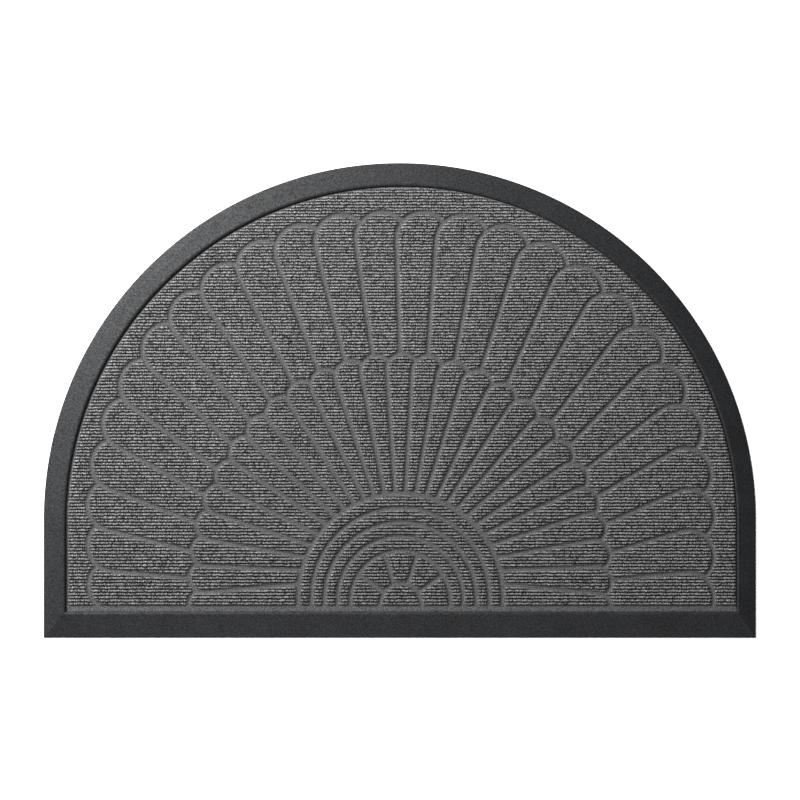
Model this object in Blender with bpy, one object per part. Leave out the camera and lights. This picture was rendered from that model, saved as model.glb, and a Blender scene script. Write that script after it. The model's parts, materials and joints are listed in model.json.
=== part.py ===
"""Half-round doormat in two pieces: a rubber backing with a bevelled border, and a ribbed
carpet that lies in it, pressed with two rows of petals, four rings and a small fan.

Metres. X runs along the straight edge, Y from that edge towards the arc, Z up. The origin
is the middle of the box's underside, and the mat lies flat on Z = 0.
"""

import bmesh
import bpy
from collections import namedtuple
from math import atan2, copysign, cos, hypot, pi, sin, sqrt
from mathutils import Vector
from mathutils.geometry import delaunay_2d_cdt

MM = 0.001

# An arch is a half circle on two straight legs: the middle of the circle, and its radius
Arch = namedtuple("Arch", "x y radius")

# A row of petals that each lap over their neighbour on the left: the arch that the middles of
# their round ends stand on, the travel along it to petal 0 and from petal to petal, the round
# ends' radius, the petals' numbers, and the row's drifts
PetalRow = namedtuple("PetalRow", "arch start spacing end_radius first last drifts")

# How far a row's round ends stand off their arch at a travel along it: further along, and outwards
Drift = namedtuple("Drift", "travel along outward")

# A petal's own side: a straight divider in the direction way from its start to its touch, where
# it runs on clockwise round the petal's end, and how wide a strip along it may be the petal's
PetalSide = namedtuple("PetalSide", "start touch way middle radius width")

# Plan of the mat
MAT = Arch(0.0, -150 * MM, 450 * MM)
MAT_BOTTOM = -300 * MM
CREST = Arch(1.9 * MM, -153.3 * MM, 423.9 * MM)
CREST_BOTTOM = -267.1 * MM
CREST_LAND = 1.2 * MM
POCKET_DRAFT = 0.3 * MM
CARPET = Arch(2.9 * MM, -153.3 * MM, 422.3 * MM)
CARPET_BOTTOM = -266.5 * MM
ARCH_STEPS = 72

# Heights of the rubber
EDGE_HEIGHT = 1.2 * MM
CREST_HEIGHT = 5.0 * MM
POCKET_HEIGHT = 2.0 * MM

# Heights of the carpet, whose ribs' tops are the mat's full thickness
CARPET_UNDERSIDE = POCKET_HEIGHT + 0.3 * MM
GROOVE_HEIGHT = 4.0 * MM
VALLEY_HEIGHT = 5.2 * MM
RIDGE_HEIGHT = 6.0 * MM

# Pressed grooves, and the walls of the raised fields between them
GROOVE_WIDTH = 2.6 * MM
WALL_RUN = 1.5 * MM
CUT_EDGE = 0.6 * MM
FIELD_BOTTOM = -261.7 * MM

# Ribs along X, at a little over twice the real carpet's pitch
RIB_PITCH = 8.8 * MM
RIB_END = 1.4 * MM
SHORTEST_RIB = 5.0 * MM

# The two rows of petals
OUTER_DRIFTS = (
    Drift(-660 * MM, 5.0 * MM, -2.5 * MM),
    Drift(-554 * MM, 1.0 * MM, -0.5 * MM),
    Drift(-500 * MM, -1.0 * MM, 0.6 * MM),
    Drift(-180 * MM, 0.0 * MM, 0.6 * MM),
    Drift(-75 * MM, -1.3 * MM, -2.5 * MM),
    Drift(-22 * MM, -2.5 * MM, -6.3 * MM),
    Drift(31 * MM, -2.5 * MM, -6.3 * MM),
    Drift(85 * MM, -5.0 * MM, -2.5 * MM),
    Drift(138 * MM, -5.0 * MM, -0.6 * MM),
    Drift(296 * MM, -3.8 * MM, 1.3 * MM),
    Drift(457 * MM, 2.5 * MM, 1.9 * MM),
    Drift(510 * MM, 5.0 * MM, 0.6 * MM),
    Drift(616 * MM, 2.5 * MM, -0.6 * MM),
)
INNER_DRIFTS = (
    Drift(-403 * MM, 1.3 * MM, 6.3 * MM),
    Drift(-335 * MM, 0.0 * MM, 1.9 * MM),
    Drift(-267 * MM, 0.0 * MM, -1.3 * MM),
    Drift(-200 * MM, 2.5 * MM, -1.3 * MM),
    Drift(-133 * MM, 2.5 * MM, 0.6 * MM),
    Drift(0 * MM, 0.0 * MM, 1.3 * MM),
    Drift(103 * MM, -3.8 * MM, 0.0 * MM),
    Drift(203 * MM, -1.3 * MM, -2.5 * MM),
    Drift(237 * MM, 0.0 * MM, -2.5 * MM),
    Drift(305 * MM, 1.3 * MM, 0.0 * MM),
    Drift(406 * MM, 1.3 * MM, 5.7 * MM),
)
OUTER_ARCH = Arch(0.9 * MM, -151.6 * MM, 363.5 * MM)
INNER_ARCH = Arch(1.0 * MM, -203.0 * MM, 241.4 * MM)
OUTER_ROW = PetalRow(OUTER_ARCH, 31.1 * MM, 53.0 * MM, 33.0 * MM, -13, 12, OUTER_DRIFTS)
INNER_ROW = PetalRow(INNER_ARCH, 2.0 * MM, 33.54 * MM, 19.4 * MM, -13, 13, INNER_DRIFTS)

# Where the outer row's dividers start on the inner petals' round ends: turned left from their
# tips, on the mat's left and right halves. The inner row's dividers aim at one point
LEFT_TIP_TURN = 0.08
RIGHT_TIP_TURN = 0.14
INNER_AIM = (1.0 * MM, -219.9 * MM)
BEHIND_START = 10 * MM

# The lowest petals run down to the straight edge: the dividers under them start below it, and a
# strip of so many round ends' radii is theirs
LOWEST_START = -280 * MM
LOWEST_WIDTH = 3
PETAL_WIDTH = 2

# The rings, and the fan's hub and cells
OUTER_RING = Arch(1.0 * MM, -246.8 * MM, 128.7 * MM)
RING_PITCH = 16.47 * MM
RING_DROP = 1.57 * MM
RING_GAP = 0.8 * MM
RINGS = 4
RING_STEPS = 16
HUB_MIDDLE = (1.3 * MM, -256.1 * MM)
HUB_REACH = 24.9 * MM
FAN_MIDDLE = (1.3 * MM, -258.4 * MM)
FAN_CELLS = 5

# How finely the outlines are drawn
END_STEPS = 7
TIP_STEPS = 7
TIP_TURN = 1.6
SCALLOP_STEPS = 5
SHORTEST_EDGE = 1.5 * MM
LIMIT_ROUNDS = 30

# Materials, linear colours
RUBBER_COLOUR = (0.045, 0.047, 0.051, 1.0)
CARPET_COLOUR = (0.135, 0.137, 0.142, 1.0)


def clear_scene():
    """Remove every object of the open scene."""
    for item in list(bpy.data.objects):
        bpy.data.objects.remove(item, do_unlink=True)


def make_material(name, colour, roughness):
    """Make a plain, non-metallic material."""
    material = bpy.data.materials.new(name)
    material.use_nodes = True
    shader = material.node_tree.nodes["Principled BSDF"]
    shader.inputs["Base Color"].default_value = colour
    shader.inputs["Roughness"].default_value = roughness
    shader.inputs["Metallic"].default_value = 0.0
    return material


def add_object(name, shape, material):
    """Turn a bmesh into a named object, triangulated and facing outwards."""
    bmesh.ops.recalc_face_normals(shape, faces=shape.faces)
    bmesh.ops.triangulate(shape, faces=shape.faces)
    mesh = bpy.data.meshes.new(name)
    shape.to_mesh(mesh)
    shape.free()
    mesh.materials.append(material)
    item = bpy.data.objects.new(name, mesh)
    bpy.context.scene.collection.objects.link(item)
    return item


# Plan geometry

def arch_line(arch, bottom, steps):
    """Points up an arch's left leg, over its crown and down its right leg."""
    turns = [pi - pi * step / steps for step in range(steps + 1)]
    over = [(arch.x + arch.radius * cos(turn), arch.y + arch.radius * sin(turn)) for turn in turns]
    left_foot = (arch.x - arch.radius, bottom)
    right_foot = (arch.x + arch.radius, bottom)
    return [left_foot] + over + [right_foot]


def arch_point(arch, travel):
    """The point at a travel along the arch from its crown, minus for left, and its outward direction."""
    quarter = pi / 2 * arch.radius
    side = copysign(1.0, travel)
    if abs(travel) <= quarter:
        turn = travel / arch.radius
        outward = (sin(turn), cos(turn))
        return (arch.x + arch.radius * outward[0], arch.y + arch.radius * outward[1]), outward
    return (arch.x + side * arch.radius, arch.y - abs(travel) + quarter), (side, 0.0)


def arc_points(middle, radius, start, end, steps):
    """Points on a circle, clockwise from the direction of start to that of end, both included."""
    first = atan2(start[1] - middle[1], start[0] - middle[0])
    last = atan2(end[1] - middle[1], end[0] - middle[0])
    sweep = (first - last) % (2 * pi)
    turns = [first - sweep * step / steps for step in range(steps + 1)]
    return [(middle[0] + radius * cos(turn), middle[1] + radius * sin(turn)) for turn in turns]


def keep_side(outline, point, inward):
    """Cut a convex outline along a line through point, and keep the side inward points to."""
    kept = []
    for start, end in zip(outline, outline[1:] + outline[:1]):
        depth_start = (start[0] - point[0]) * inward[0] + (start[1] - point[1]) * inward[1]
        depth_end = (end[0] - point[0]) * inward[0] + (end[1] - point[1]) * inward[1]
        if depth_start >= 0:
            kept.append(start)
        if depth_start * depth_end < 0:
            share = depth_start / (depth_start - depth_end)
            kept.append((start[0] + (end[0] - start[0]) * share, start[1] + (end[1] - start[1]) * share))
    return kept


def inset_outline(outline, distance):
    """Move every side of a convex clockwise outline inwards."""
    result = outline
    for start, end in zip(outline, outline[1:] + outline[:1]):
        length = hypot(end[0] - start[0], end[1] - start[1])
        inward = ((end[1] - start[1]) / length, (start[0] - end[0]) / length)
        point = (start[0] + inward[0] * distance, start[1] + inward[1] * distance)
        result = keep_side(result, point, inward)
    return result


def trim_ends(line, bottom):
    """Shorten an open line, whose ends hang below bottom, to the stretch above it."""
    above = [index for index, point in enumerate(line) if point[1] > bottom]
    ends = []
    for inner, outer in ((above[0], above[0] - 1), (above[-1], above[-1] + 1)):
        share = (bottom - line[inner][1]) / (line[outer][1] - line[inner][1])
        ends.append((line[inner][0] + (line[outer][0] - line[inner][0]) * share, bottom))
    return [ends[0]] + line[above[0]:above[-1] + 1] + [ends[1]]


def row_spans(outline, y):
    """The spans in X where a row at y lies inside a closed outline."""
    crossings = []
    for start, end in zip(outline, outline[1:] + outline[:1]):
        if (start[1] > y) != (end[1] > y):
            crossings.append(start[0] + (end[0] - start[0]) * (y - start[1]) / (end[1] - start[1]))
    crossings.sort()
    return list(zip(crossings[::2], crossings[1::2]))


def above_bottom(outline, distance):
    """Cut an outline where the pressed strip along the straight edge begins."""
    return keep_side(outline, (0.0, FIELD_BOTTOM - GROOVE_WIDTH / 2 + distance), (0.0, 1.0))


# Petals, each bounded by its own side, its right neighbour's side, and the row or ring behind it

def read_table(value, places, results):
    """Read a table at a value, straight between its entries and level beyond them."""
    if value <= places[0]:
        return results[0]
    for place in range(1, len(places)):
        if value <= places[place]:
            share = (value - places[place - 1]) / (places[place] - places[place - 1])
            return results[place - 1] + (results[place] - results[place - 1]) * share
    return results[-1]


def round_end(row, number, reach=0.0, turn=0.0):
    """The point at a reach from the middle of a petal's round end, outwards but for a turn to the left."""
    travel = row.start + number * row.spacing
    travels, alongs, outwards = zip(*row.drifts)
    point, outward = arch_point(row.arch, travel + read_table(travel, travels, alongs))
    drift = read_table(travel, travels, outwards)
    way_x = outward[0] * cos(turn) - outward[1] * sin(turn)
    way_y = outward[0] * sin(turn) + outward[1] * cos(turn)
    return (point[0] + outward[0] * drift + way_x * reach, point[1] + outward[1] * drift + way_y * reach)


def petal_side(row, number, start):
    """The own side of a row's petal, whose divider runs from start and touches its round end on the left."""
    middle, radius, width = round_end(row, number), row.end_radius, PETAL_WIDTH
    if number in (row.first, row.last + 1):
        start, width = (start[0], LOWEST_START), LOWEST_WIDTH
    gap_x, gap_y = middle[0] - start[0], middle[1] - start[1]
    distance = hypot(gap_x, gap_y)
    run = sqrt(distance * distance - radius * radius)
    cosine, sine = run / distance, radius / distance
    way = ((gap_x * cosine - gap_y * sine) / distance, (gap_x * sine + gap_y * cosine) / distance)
    touch = (start[0] + way[0] * run, start[1] + way[1] * run)
    return PetalSide(start, touch, way, middle, radius, width * radius)


def side_depth(side, point):
    """How far a point lies inside a petal's own side, minus outside it."""
    from_touch = (point[0] - side.touch[0], point[1] - side.touch[1])
    if from_touch[0] * side.way[0] + from_touch[1] * side.way[1] > 0:
        return side.radius - hypot(point[0] - side.middle[0], point[1] - side.middle[1])
    from_start = (point[0] - side.start[0], point[1] - side.start[1])
    ahead = from_start[0] * side.way[0] + from_start[1] * side.way[1] + BEHIND_START
    beside = from_touch[0] * side.way[1] - from_touch[1] * side.way[0]
    return min(beside, side.width - beside, ahead)


def side_line(side, inset):
    """A petal's own side moved inwards, from behind its start and half round its end."""
    right = (side.way[1], -side.way[0])
    behind_x = side.start[0] - side.way[0] * BEHIND_START + right[0] * inset
    behind_y = side.start[1] - side.way[1] * BEHIND_START + right[1] * inset
    far = (2 * side.middle[0] - side.touch[0], 2 * side.middle[1] - side.touch[1])
    return [(behind_x, behind_y)] + arc_points(side.middle, side.radius - inset, side.touch, far, END_STEPS)


def limit(inside, outside, depth):
    """The point between two others where a depth falls to nothing."""
    for _ in range(LIMIT_ROUNDS):
        middle = ((inside[0] + outside[0]) / 2, (inside[1] + outside[1]) / 2)
        if depth(middle) > 0:
            inside = middle
        else:
            outside = middle
    return inside


def stretch(line, depths):
    """The stretch of a line where all depths are positive, with its ends on the limit."""
    def depth(point):
        return min(measure(point) for measure in depths)
    within = [index for index, point in enumerate(line) if depth(point) > 0]
    if not within:
        return []
    first, last = within[0], within[-1]
    kept = line[first:last + 1]
    if first > 0:
        kept = [limit(line[first], line[first - 1], depth)] + kept
    if last < len(line) - 1:
        kept = kept + [limit(line[last], line[last + 1], depth)]
    return kept


def join(stretches):
    """A closed outline from stretches that meet end to end, without its shortest edges."""
    lines = [line for line in stretches if line]
    outline = []
    for line in lines:
        outline.extend(line)
    kept = []
    for before, point in zip(outline[-1:] + outline, outline):
        if hypot(point[0] - before[0], point[1] - before[1]) > SHORTEST_EDGE:
            kept.append(point)
    return kept


def petal_field(own, following, limits):
    """A petal between its own side and its right neighbour's, with limits behind it."""
    def outline(distance):
        sides = [
            (side_line(own, distance), lambda point: side_depth(own, point) - distance),
            (side_line(following, -distance)[::-1], lambda point: -side_depth(following, point) - distance),
        ]
        sides += limits(distance)
        stretches = []
        for line, depth in sides:
            others = [measure for _, measure in sides if measure is not depth]
            stretches.append(stretch(line, others))
        return above_bottom(join(stretches), distance)
    return outline


def outer_side(number):
    """The own side of a petal of the outer row, whose divider starts on an inner petal's round end."""
    turn = RIGHT_TIP_TURN if number >= 0 else LEFT_TIP_TURN
    start = round_end(INNER_ROW, number, INNER_ROW.end_radius, turn)
    return petal_side(OUTER_ROW, number, start)


def inner_side(number):
    """The own side of a petal of the inner row, which aims at the middle of the rings."""
    return petal_side(INNER_ROW, number, INNER_AIM)


def past_round_end(number, distance):
    """The line round an inner petal's end at a distance, from right to left, and the depth outside it."""
    middle = round_end(INNER_ROW, number)
    radius = INNER_ROW.end_radius + distance
    left = round_end(INNER_ROW, number, radius, TIP_TURN)
    right = round_end(INNER_ROW, number, radius, -TIP_TURN)
    line = arc_points(middle, radius, left, right, TIP_STEPS)[::-1]
    return line, lambda point: hypot(point[0] - middle[0], point[1] - middle[1]) - radius


def past_ring(distance):
    """The line round the rings at a distance, from right to left, and the depth outside it."""
    arch = Arch(OUTER_RING.x, OUTER_RING.y, OUTER_RING.radius + RING_GAP + distance)
    line = arch_line(arch, MAT_BOTTOM, ARCH_STEPS)[::-1]

    def depth(point):
        if point[1] > arch.y:
            return hypot(point[0] - arch.x, point[1] - arch.y) - arch.radius
        return abs(point[0] - arch.x) - arch.radius
    return line, depth


def outer_petals():
    """The wide petals of the outer row."""
    fields = []
    for number in range(OUTER_ROW.first, OUTER_ROW.last + 1):
        def limits(distance, number=number):
            return [past_round_end(number + 1, distance), past_round_end(number, distance)]
        fields.append(petal_field(outer_side(number), outer_side(number + 1), limits))
    return fields


def inner_petals():
    """The narrow petals of the inner row."""
    fields = []
    for number in range(INNER_ROW.first, INNER_ROW.last + 1):
        own, following = inner_side(number), inner_side(number + 1)
        fields.append(petal_field(own, following, lambda distance: [past_ring(distance)]))
    return fields


# The other raised fields, each too a function from the distance to its grooves' middle lines to its outline

def convex_field(outline):
    """A field from its convex middle-line outline, clockwise."""
    return lambda distance: inset_outline(outline, distance)


def ring_groove(number):
    """The middle line of a groove between rings, 0 outermost."""
    radius = OUTER_RING.radius - RING_PITCH * number
    return Arch(OUTER_RING.x, OUTER_RING.y - RING_DROP * number, radius)


def ring_field(number):
    """One raised ring between two ring grooves."""
    def outline(distance):
        bottom = FIELD_BOTTOM - GROOVE_WIDTH / 2 + distance
        around, core = ring_groove(number), ring_groove(number + 1)
        outer = Arch(around.x, around.y, around.radius - distance)
        inner = Arch(core.x, core.y, core.radius + distance)
        return arch_line(outer, bottom, RING_STEPS) + arch_line(inner, bottom, RING_STEPS)[::-1]
    return outline


def rings():
    """The raised rings, from the outside in."""
    return [ring_field(number) for number in range(RINGS)]


def fan():
    """The cells of the small fan inside the rings, and the hub under them."""
    inside = arch_line(ring_groove(RINGS), FIELD_BOTTOM - GROOVE_WIDTH / 2, RING_STEPS)
    hub = inside
    fields = []
    for number in range(FAN_CELLS):
        low = pi * number / FAN_CELLS
        high = pi * (number + 1) / FAN_CELLS
        way = (cos((low + high) / 2), sin((low + high) / 2))
        hub_side = (HUB_MIDDLE[0] + HUB_REACH * way[0], HUB_MIDDLE[1] + HUB_REACH * way[1])
        hub = keep_side(hub, hub_side, (-way[0], -way[1]))
        cell = keep_side(inside, hub_side, way)
        if number > 0:
            cell = keep_side(cell, FAN_MIDDLE, (-sin(low), cos(low)))
        if number < FAN_CELLS - 1:
            cell = keep_side(cell, FAN_MIDDLE, (sin(high), -cos(high)))
        fields.append(convex_field(cell))
    fields.append(convex_field(hub))
    return fields


def end_crossing(number, distance):
    """Where the lines at a distance outside the round ends of a petal and its right neighbour cross."""
    left, right = round_end(OUTER_ROW, number), round_end(OUTER_ROW, number + 1)
    apart = hypot(right[0] - left[0], right[1] - left[1])
    rise = sqrt((OUTER_ROW.end_radius + distance) ** 2 - apart * apart / 4) / apart
    middle_x, middle_y = (left[0] + right[0]) / 2, (left[1] + right[1]) / 2
    return (middle_x + (left[1] - right[1]) * rise, middle_y + (right[0] - left[0]) * rise)


def scallop_line(distance):
    """The line at a distance outside the outer row's round ends, from left to right."""
    line = []
    for number in range(OUTER_ROW.first - 1, OUTER_ROW.last + 2):
        ends = (end_crossing(number - 1, distance), end_crossing(number, distance))
        middle = round_end(OUTER_ROW, number)
        scallop = arc_points(middle, OUTER_ROW.end_radius + distance, ends[0], ends[1], SCALLOP_STEPS)
        line.extend(scallop if not line else scallop[1:])
    return line


def margin_field(distance):
    """The plain field between the carpet's cut edge and the scallops."""
    rise_in = distance - GROOVE_WIDTH / 2
    bottom = FIELD_BOTTOM + rise_in
    edge = Arch(CARPET.x, CARPET.y, CARPET.radius - CUT_EDGE - rise_in)
    return arch_line(edge, bottom, ARCH_STEPS) + trim_ends(scallop_line(distance), bottom)[::-1]


# The two pieces

class Relief:
    """A surface over the plan: points with heights, and the edges its triangles keep."""

    def __init__(self):
        self.points = []
        self.heights = []
        self.edges = []

    def add_line(self, points, height, closed):
        """Add a row of points at one height, joined by edges."""
        first = len(self.points)
        self.points.extend(Vector(point) for point in points)
        self.heights.extend([height] * len(points))
        last = len(self.points) - 1
        self.edges.extend((index, index + 1) for index in range(first, last))
        if closed:
            self.edges.append((last, first))

    def add_field(self, outline):
        """Add a raised field: its foot, its shoulder, and its ridges and valleys."""
        self.add_line(outline(GROOVE_WIDTH / 2), GROOVE_HEIGHT, True)
        self.add_line(outline(GROOVE_WIDTH / 2 + WALL_RUN), VALLEY_HEIGHT, True)
        ribbed = outline(GROOVE_WIDTH / 2 + WALL_RUN + RIB_END)
        rows = int((CARPET.y + CARPET.radius - FIELD_BOTTOM) / (RIB_PITCH / 2))
        for row in range(1, rows):
            height = RIDGE_HEIGHT if row % 2 else VALLEY_HEIGHT
            y = FIELD_BOTTOM + row * RIB_PITCH / 2
            for left, right in row_spans(ribbed, y):
                if right - left >= SHORTEST_RIB:
                    self.add_line([(left, y), (right, y)], height, False)

    def surface(self, rim):
        """Triangulate inside the rim, the list of the rim points' indices, as a bmesh."""
        points, _, faces, origins, _, _ = delaunay_2d_cdt(self.points, self.edges, [rim], 1, 1e-6)
        shape = bmesh.new()
        corners = []
        for point, origin in zip(points, origins):
            corners.append(shape.verts.new((point.x, point.y, self.heights[origin[0]])))
        for face in faces:
            shape.faces.new([corners[index] for index in face])
        return shape


def build_backing():
    """The rubber backing: a flat sheet whose border rises to a crest round the carpet's pocket."""
    land = Arch(CREST.x, CREST.y, CREST.radius + CREST_LAND)
    pocket = Arch(CREST.x, CREST.y, CREST.radius - POCKET_DRAFT)
    levels = (
        (MAT, MAT_BOTTOM, 0.0),
        (MAT, MAT_BOTTOM, EDGE_HEIGHT),
        (land, CREST_BOTTOM - CREST_LAND, CREST_HEIGHT),
        (CREST, CREST_BOTTOM, CREST_HEIGHT),
        (pocket, CREST_BOTTOM + POCKET_DRAFT, POCKET_HEIGHT),
    )
    shape = bmesh.new()
    loops = []
    for arch, bottom, height in levels:
        line = arch_line(arch, bottom, ARCH_STEPS)
        loops.append([shape.verts.new((x, y, height)) for x, y in line])
    for lower, upper in zip(loops, loops[1:]):
        for index in range(len(lower)):
            following = (index + 1) % len(lower)
            shape.faces.new((lower[index], lower[following], upper[following], upper[index]))
    shape.faces.new(loops[0])
    shape.faces.new(loops[-1])
    return add_object("rubber_backing", shape, make_material("charcoal_rubber", RUBBER_COLOUR, 0.55))


def build_carpet():
    """The carpet: a cut sheet, flat below, with its pressed pattern and coarse ribs on top."""
    relief = Relief()
    rim_line = arch_line(CARPET, CARPET_BOTTOM, ARCH_STEPS)
    relief.add_line(rim_line, GROOVE_HEIGHT, True)
    for field in [margin_field] + outer_petals() + inner_petals() + rings() + fan():
        relief.add_field(field)
    shape = relief.surface(list(range(len(rim_line))))
    rim = [edge for edge in shape.edges if edge.is_boundary]
    walls = bmesh.ops.extrude_edge_only(shape, edges=rim)["geom"]
    for corner in [part for part in walls if isinstance(part, bmesh.types.BMVert)]:
        corner.co.z = CARPET_UNDERSIDE
    foot = [part for part in walls if isinstance(part, bmesh.types.BMEdge)]
    bmesh.ops.holes_fill(shape, edges=foot, sides=0)
    return add_object("ribbed_carpet", shape, make_material("grey_carpet", CARPET_COLOUR, 0.95))


def main():
    """Build the mat."""
    clear_scene()
    build_backing()
    build_carpet()


main()
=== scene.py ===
"""Looks of a half-round doormat: a ribbed carpet, pressed with petals and rings, in a rubber tray.

Metres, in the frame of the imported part: X runs along the straight edge, Y from that edge
towards the arc, Z up, and the mat lies on Z = 0.
"""

import json
import logging
import math
from collections.abc import Callable
from dataclasses import dataclass, field
from enum import Enum
from typing import Protocol

import bpy
import numpy as np
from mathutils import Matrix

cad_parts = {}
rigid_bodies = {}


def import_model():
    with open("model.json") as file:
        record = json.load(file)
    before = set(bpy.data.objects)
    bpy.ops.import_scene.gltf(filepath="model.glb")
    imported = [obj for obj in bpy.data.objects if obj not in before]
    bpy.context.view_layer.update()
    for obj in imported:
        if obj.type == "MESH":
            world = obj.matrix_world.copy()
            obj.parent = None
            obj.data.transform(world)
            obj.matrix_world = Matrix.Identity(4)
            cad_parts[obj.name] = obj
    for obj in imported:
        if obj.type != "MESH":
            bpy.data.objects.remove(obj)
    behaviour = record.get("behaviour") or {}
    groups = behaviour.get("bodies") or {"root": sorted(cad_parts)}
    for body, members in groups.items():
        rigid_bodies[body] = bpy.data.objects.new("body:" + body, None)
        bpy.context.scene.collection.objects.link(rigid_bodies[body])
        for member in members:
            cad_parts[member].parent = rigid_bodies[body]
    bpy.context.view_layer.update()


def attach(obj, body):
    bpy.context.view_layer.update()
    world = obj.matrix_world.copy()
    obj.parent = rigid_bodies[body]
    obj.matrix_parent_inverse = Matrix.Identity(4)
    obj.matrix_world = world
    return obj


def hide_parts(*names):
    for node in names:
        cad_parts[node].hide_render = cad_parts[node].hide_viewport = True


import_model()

MM = 0.001
BODY = "root"
BACKING_NODE = "rubber_backing"
CARPET_NODE = "ribbed_carpet"

# A noise texture's values lie mostly between these two
NOISE_LOW = 0.35
NOISE_HIGH = 0.65

# How far a petal goes on behind its divider's start, in radii of its round end
PETAL_BACK = 2

Point = tuple[float, float]
Colour = tuple[float, float, float, float]

# A function of X and Y that is 0 on a line
Line = Callable[[np.ndarray, np.ndarray], np.ndarray]

logging.basicConfig(level=logging.INFO, format="%(message)s")
log = logging.getLogger("doormat")


class Zone(Enum):
    """The pieces that the carpet's fine surface is divided into, along its pressed grooves."""

    LEFT = "carpet_left_petals"
    CROWN = "carpet_crown_petals"
    RIGHT = "carpet_right_petals"
    INNER = "carpet_inner_petals"
    RINGS = "carpet_rings"


class Trait(Enum):
    """The values that the carpet's points carry for its finish."""

    RIB = "rib"
    PRESSED = "pressed"
    TONE = "tone"


class Blend(Enum):
    """How two colours of a finish are joined, in the words of the mixing node."""

    MIX = "MIX"
    MULTIPLY = "MULTIPLY"


# Small helpers for numbers


def smooth_step(value: np.ndarray, start: float, run: float | np.ndarray) -> np.ndarray:
    """Rise smoothly from 0 to 1.

    Args:
        value: Where to read the rise.
        start: The value at which it leaves 0.
        run: How far it takes to reach 1.

    Returns:
        The rise at each value.
    """
    share = np.clip((value - start) / run, 0.0, 1.0)
    return share * share * (3.0 - 2.0 * share)


def smooth_least(distances: list[np.ndarray], rounding: float) -> np.ndarray:
    """Take the least of several distances, rounded off where two of them are nearly equal.

    Args:
        distances: Distances to the sides of a field, positive inside.
        rounding: About how far from a corner its rounding reaches.

    Returns:
        The rounded least distance at each point.
    """
    least = np.minimum.reduce(distances)
    total = sum(np.exp((least - distance) / rounding) for distance in distances)
    return least - rounding * np.log(total)


def lattice_noise(across: np.ndarray, along: np.ndarray, seed: int) -> np.ndarray:
    """Smooth noise that takes a new random value at each whole step of both coordinates.

    Args:
        across: First coordinate, in lattice steps.
        along: Second coordinate, in lattice steps.
        seed: Seed of the random values.

    Returns:
        Values from -1 to 1.
    """
    first, second = np.floor(across).astype(int), np.floor(along).astype(int)
    share_a = smooth_step(across - first, 0.0, 1.0)
    share_b = smooth_step(along - second, 0.0, 1.0)
    first -= first.min()
    second -= second.min()
    values = np.random.default_rng(seed).uniform(-1.0, 1.0, (first.max() + 2, second.max() + 2))
    low = values[first, second] * (1.0 - share_a) + values[first + 1, second] * share_a
    high = values[first, second + 1] * (1.0 - share_a) + values[first + 1, second + 1] * share_a
    return low * (1.0 - share_b) + high * share_b


# Plan geometry


@dataclass(frozen=True)
class Arch:
    """A half circle that stands on two straight legs, open below."""

    x: float
    y: float
    radius: float

    def spread(self, x: np.ndarray, y: np.ndarray) -> np.ndarray:
        """Distance of points from the arch's spine: its middle, and the line down from it."""
        return np.where(y >= self.y, np.hypot(x - self.x, y - self.y), np.abs(x - self.x))

    def travel(self, x: np.ndarray, y: np.ndarray) -> np.ndarray:
        """Way along the arch from its crown to the place beside each point, minus on the left."""
        turn = np.arctan2(x - self.x, np.maximum(y - self.y, 0.0))
        return turn * self.radius + np.sign(x - self.x) * np.maximum(self.y - y, 0.0)

    def at(self, travel: float) -> tuple[Point, Point]:
        """Find a place on the arch.

        Args:
            travel: Way along the arch from its crown, minus for left.

        Returns:
            The point there, and the direction outwards.
        """
        quarter = math.pi / 2 * self.radius
        side = math.copysign(1.0, travel)
        if abs(travel) > quarter:
            return (self.x + side * self.radius, self.y - abs(travel) + quarter), (side, 0.0)
        out = (math.sin(travel / self.radius), math.cos(travel / self.radius))
        return (self.x + self.radius * out[0], self.y + self.radius * out[1]), out


class Side(Protocol):
    """One side of a raised field."""

    def inside(self, x: np.ndarray, y: np.ndarray) -> np.ndarray:
        """Distance of points from this side, positive towards the field."""


@dataclass(frozen=True)
class StraightSide:
    """A straight side: a point on it, and the unit direction into the field."""

    point: Point
    inward: Point

    def inside(self, x: np.ndarray, y: np.ndarray) -> np.ndarray:
        """Distance of points from the line, positive on the inward side."""
        return (x - self.point[0]) * self.inward[0] + (y - self.point[1]) * self.inward[1]


@dataclass(frozen=True)
class PetalSide:
    """A petal's own outline: a straight divider that curls on over the petal's round end."""

    foot: Point
    way: Point
    back: float
    middle: Point
    radius: float
    width: float

    def inside(self, x: np.ndarray, y: np.ndarray) -> np.ndarray:
        """Find how far inside the outline points lie.

        Args:
            x: X of the points.
            y: Y of the points.

        Returns:
            Their distance from the outline, positive within the petal.
        """
        along = (x - self.foot[0]) * self.way[0] + (y - self.foot[1]) * self.way[1]
        beside = (x - self.foot[0]) * self.way[1] - (y - self.foot[1]) * self.way[0]
        curl = self.radius - np.hypot(x - self.middle[0], y - self.middle[1])
        strip = np.minimum.reduce([beside, self.width - beside, along + self.back])
        return np.where(along > 0.0, curl, strip)

    @classmethod
    def touching(cls, start: Point, middle: Point, radius: float, width: float) -> "PetalSide":
        """Draw the outline of a petal.

        Args:
            start: Where its divider starts, at the petal's inner end.
            middle: The middle of its round end.
            radius: The radius of its round end.
            width: How wide a strip along the divider may be the petal's.

        Returns:
            The side whose divider touches the round end on its left.
        """
        gap_x, gap_y = middle[0] - start[0], middle[1] - start[1]
        distance = math.hypot(gap_x, gap_y)
        run = math.sqrt(distance**2 - radius**2)
        cosine, sine = run / distance, radius / distance
        way = (
            (gap_x * cosine - gap_y * sine) / distance,
            (gap_x * sine + gap_y * cosine) / distance,
        )
        foot = (start[0] + way[0] * run, start[1] + way[1] * run)
        return cls(foot, way, run + PETAL_BACK * radius, middle, radius, width)


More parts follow.
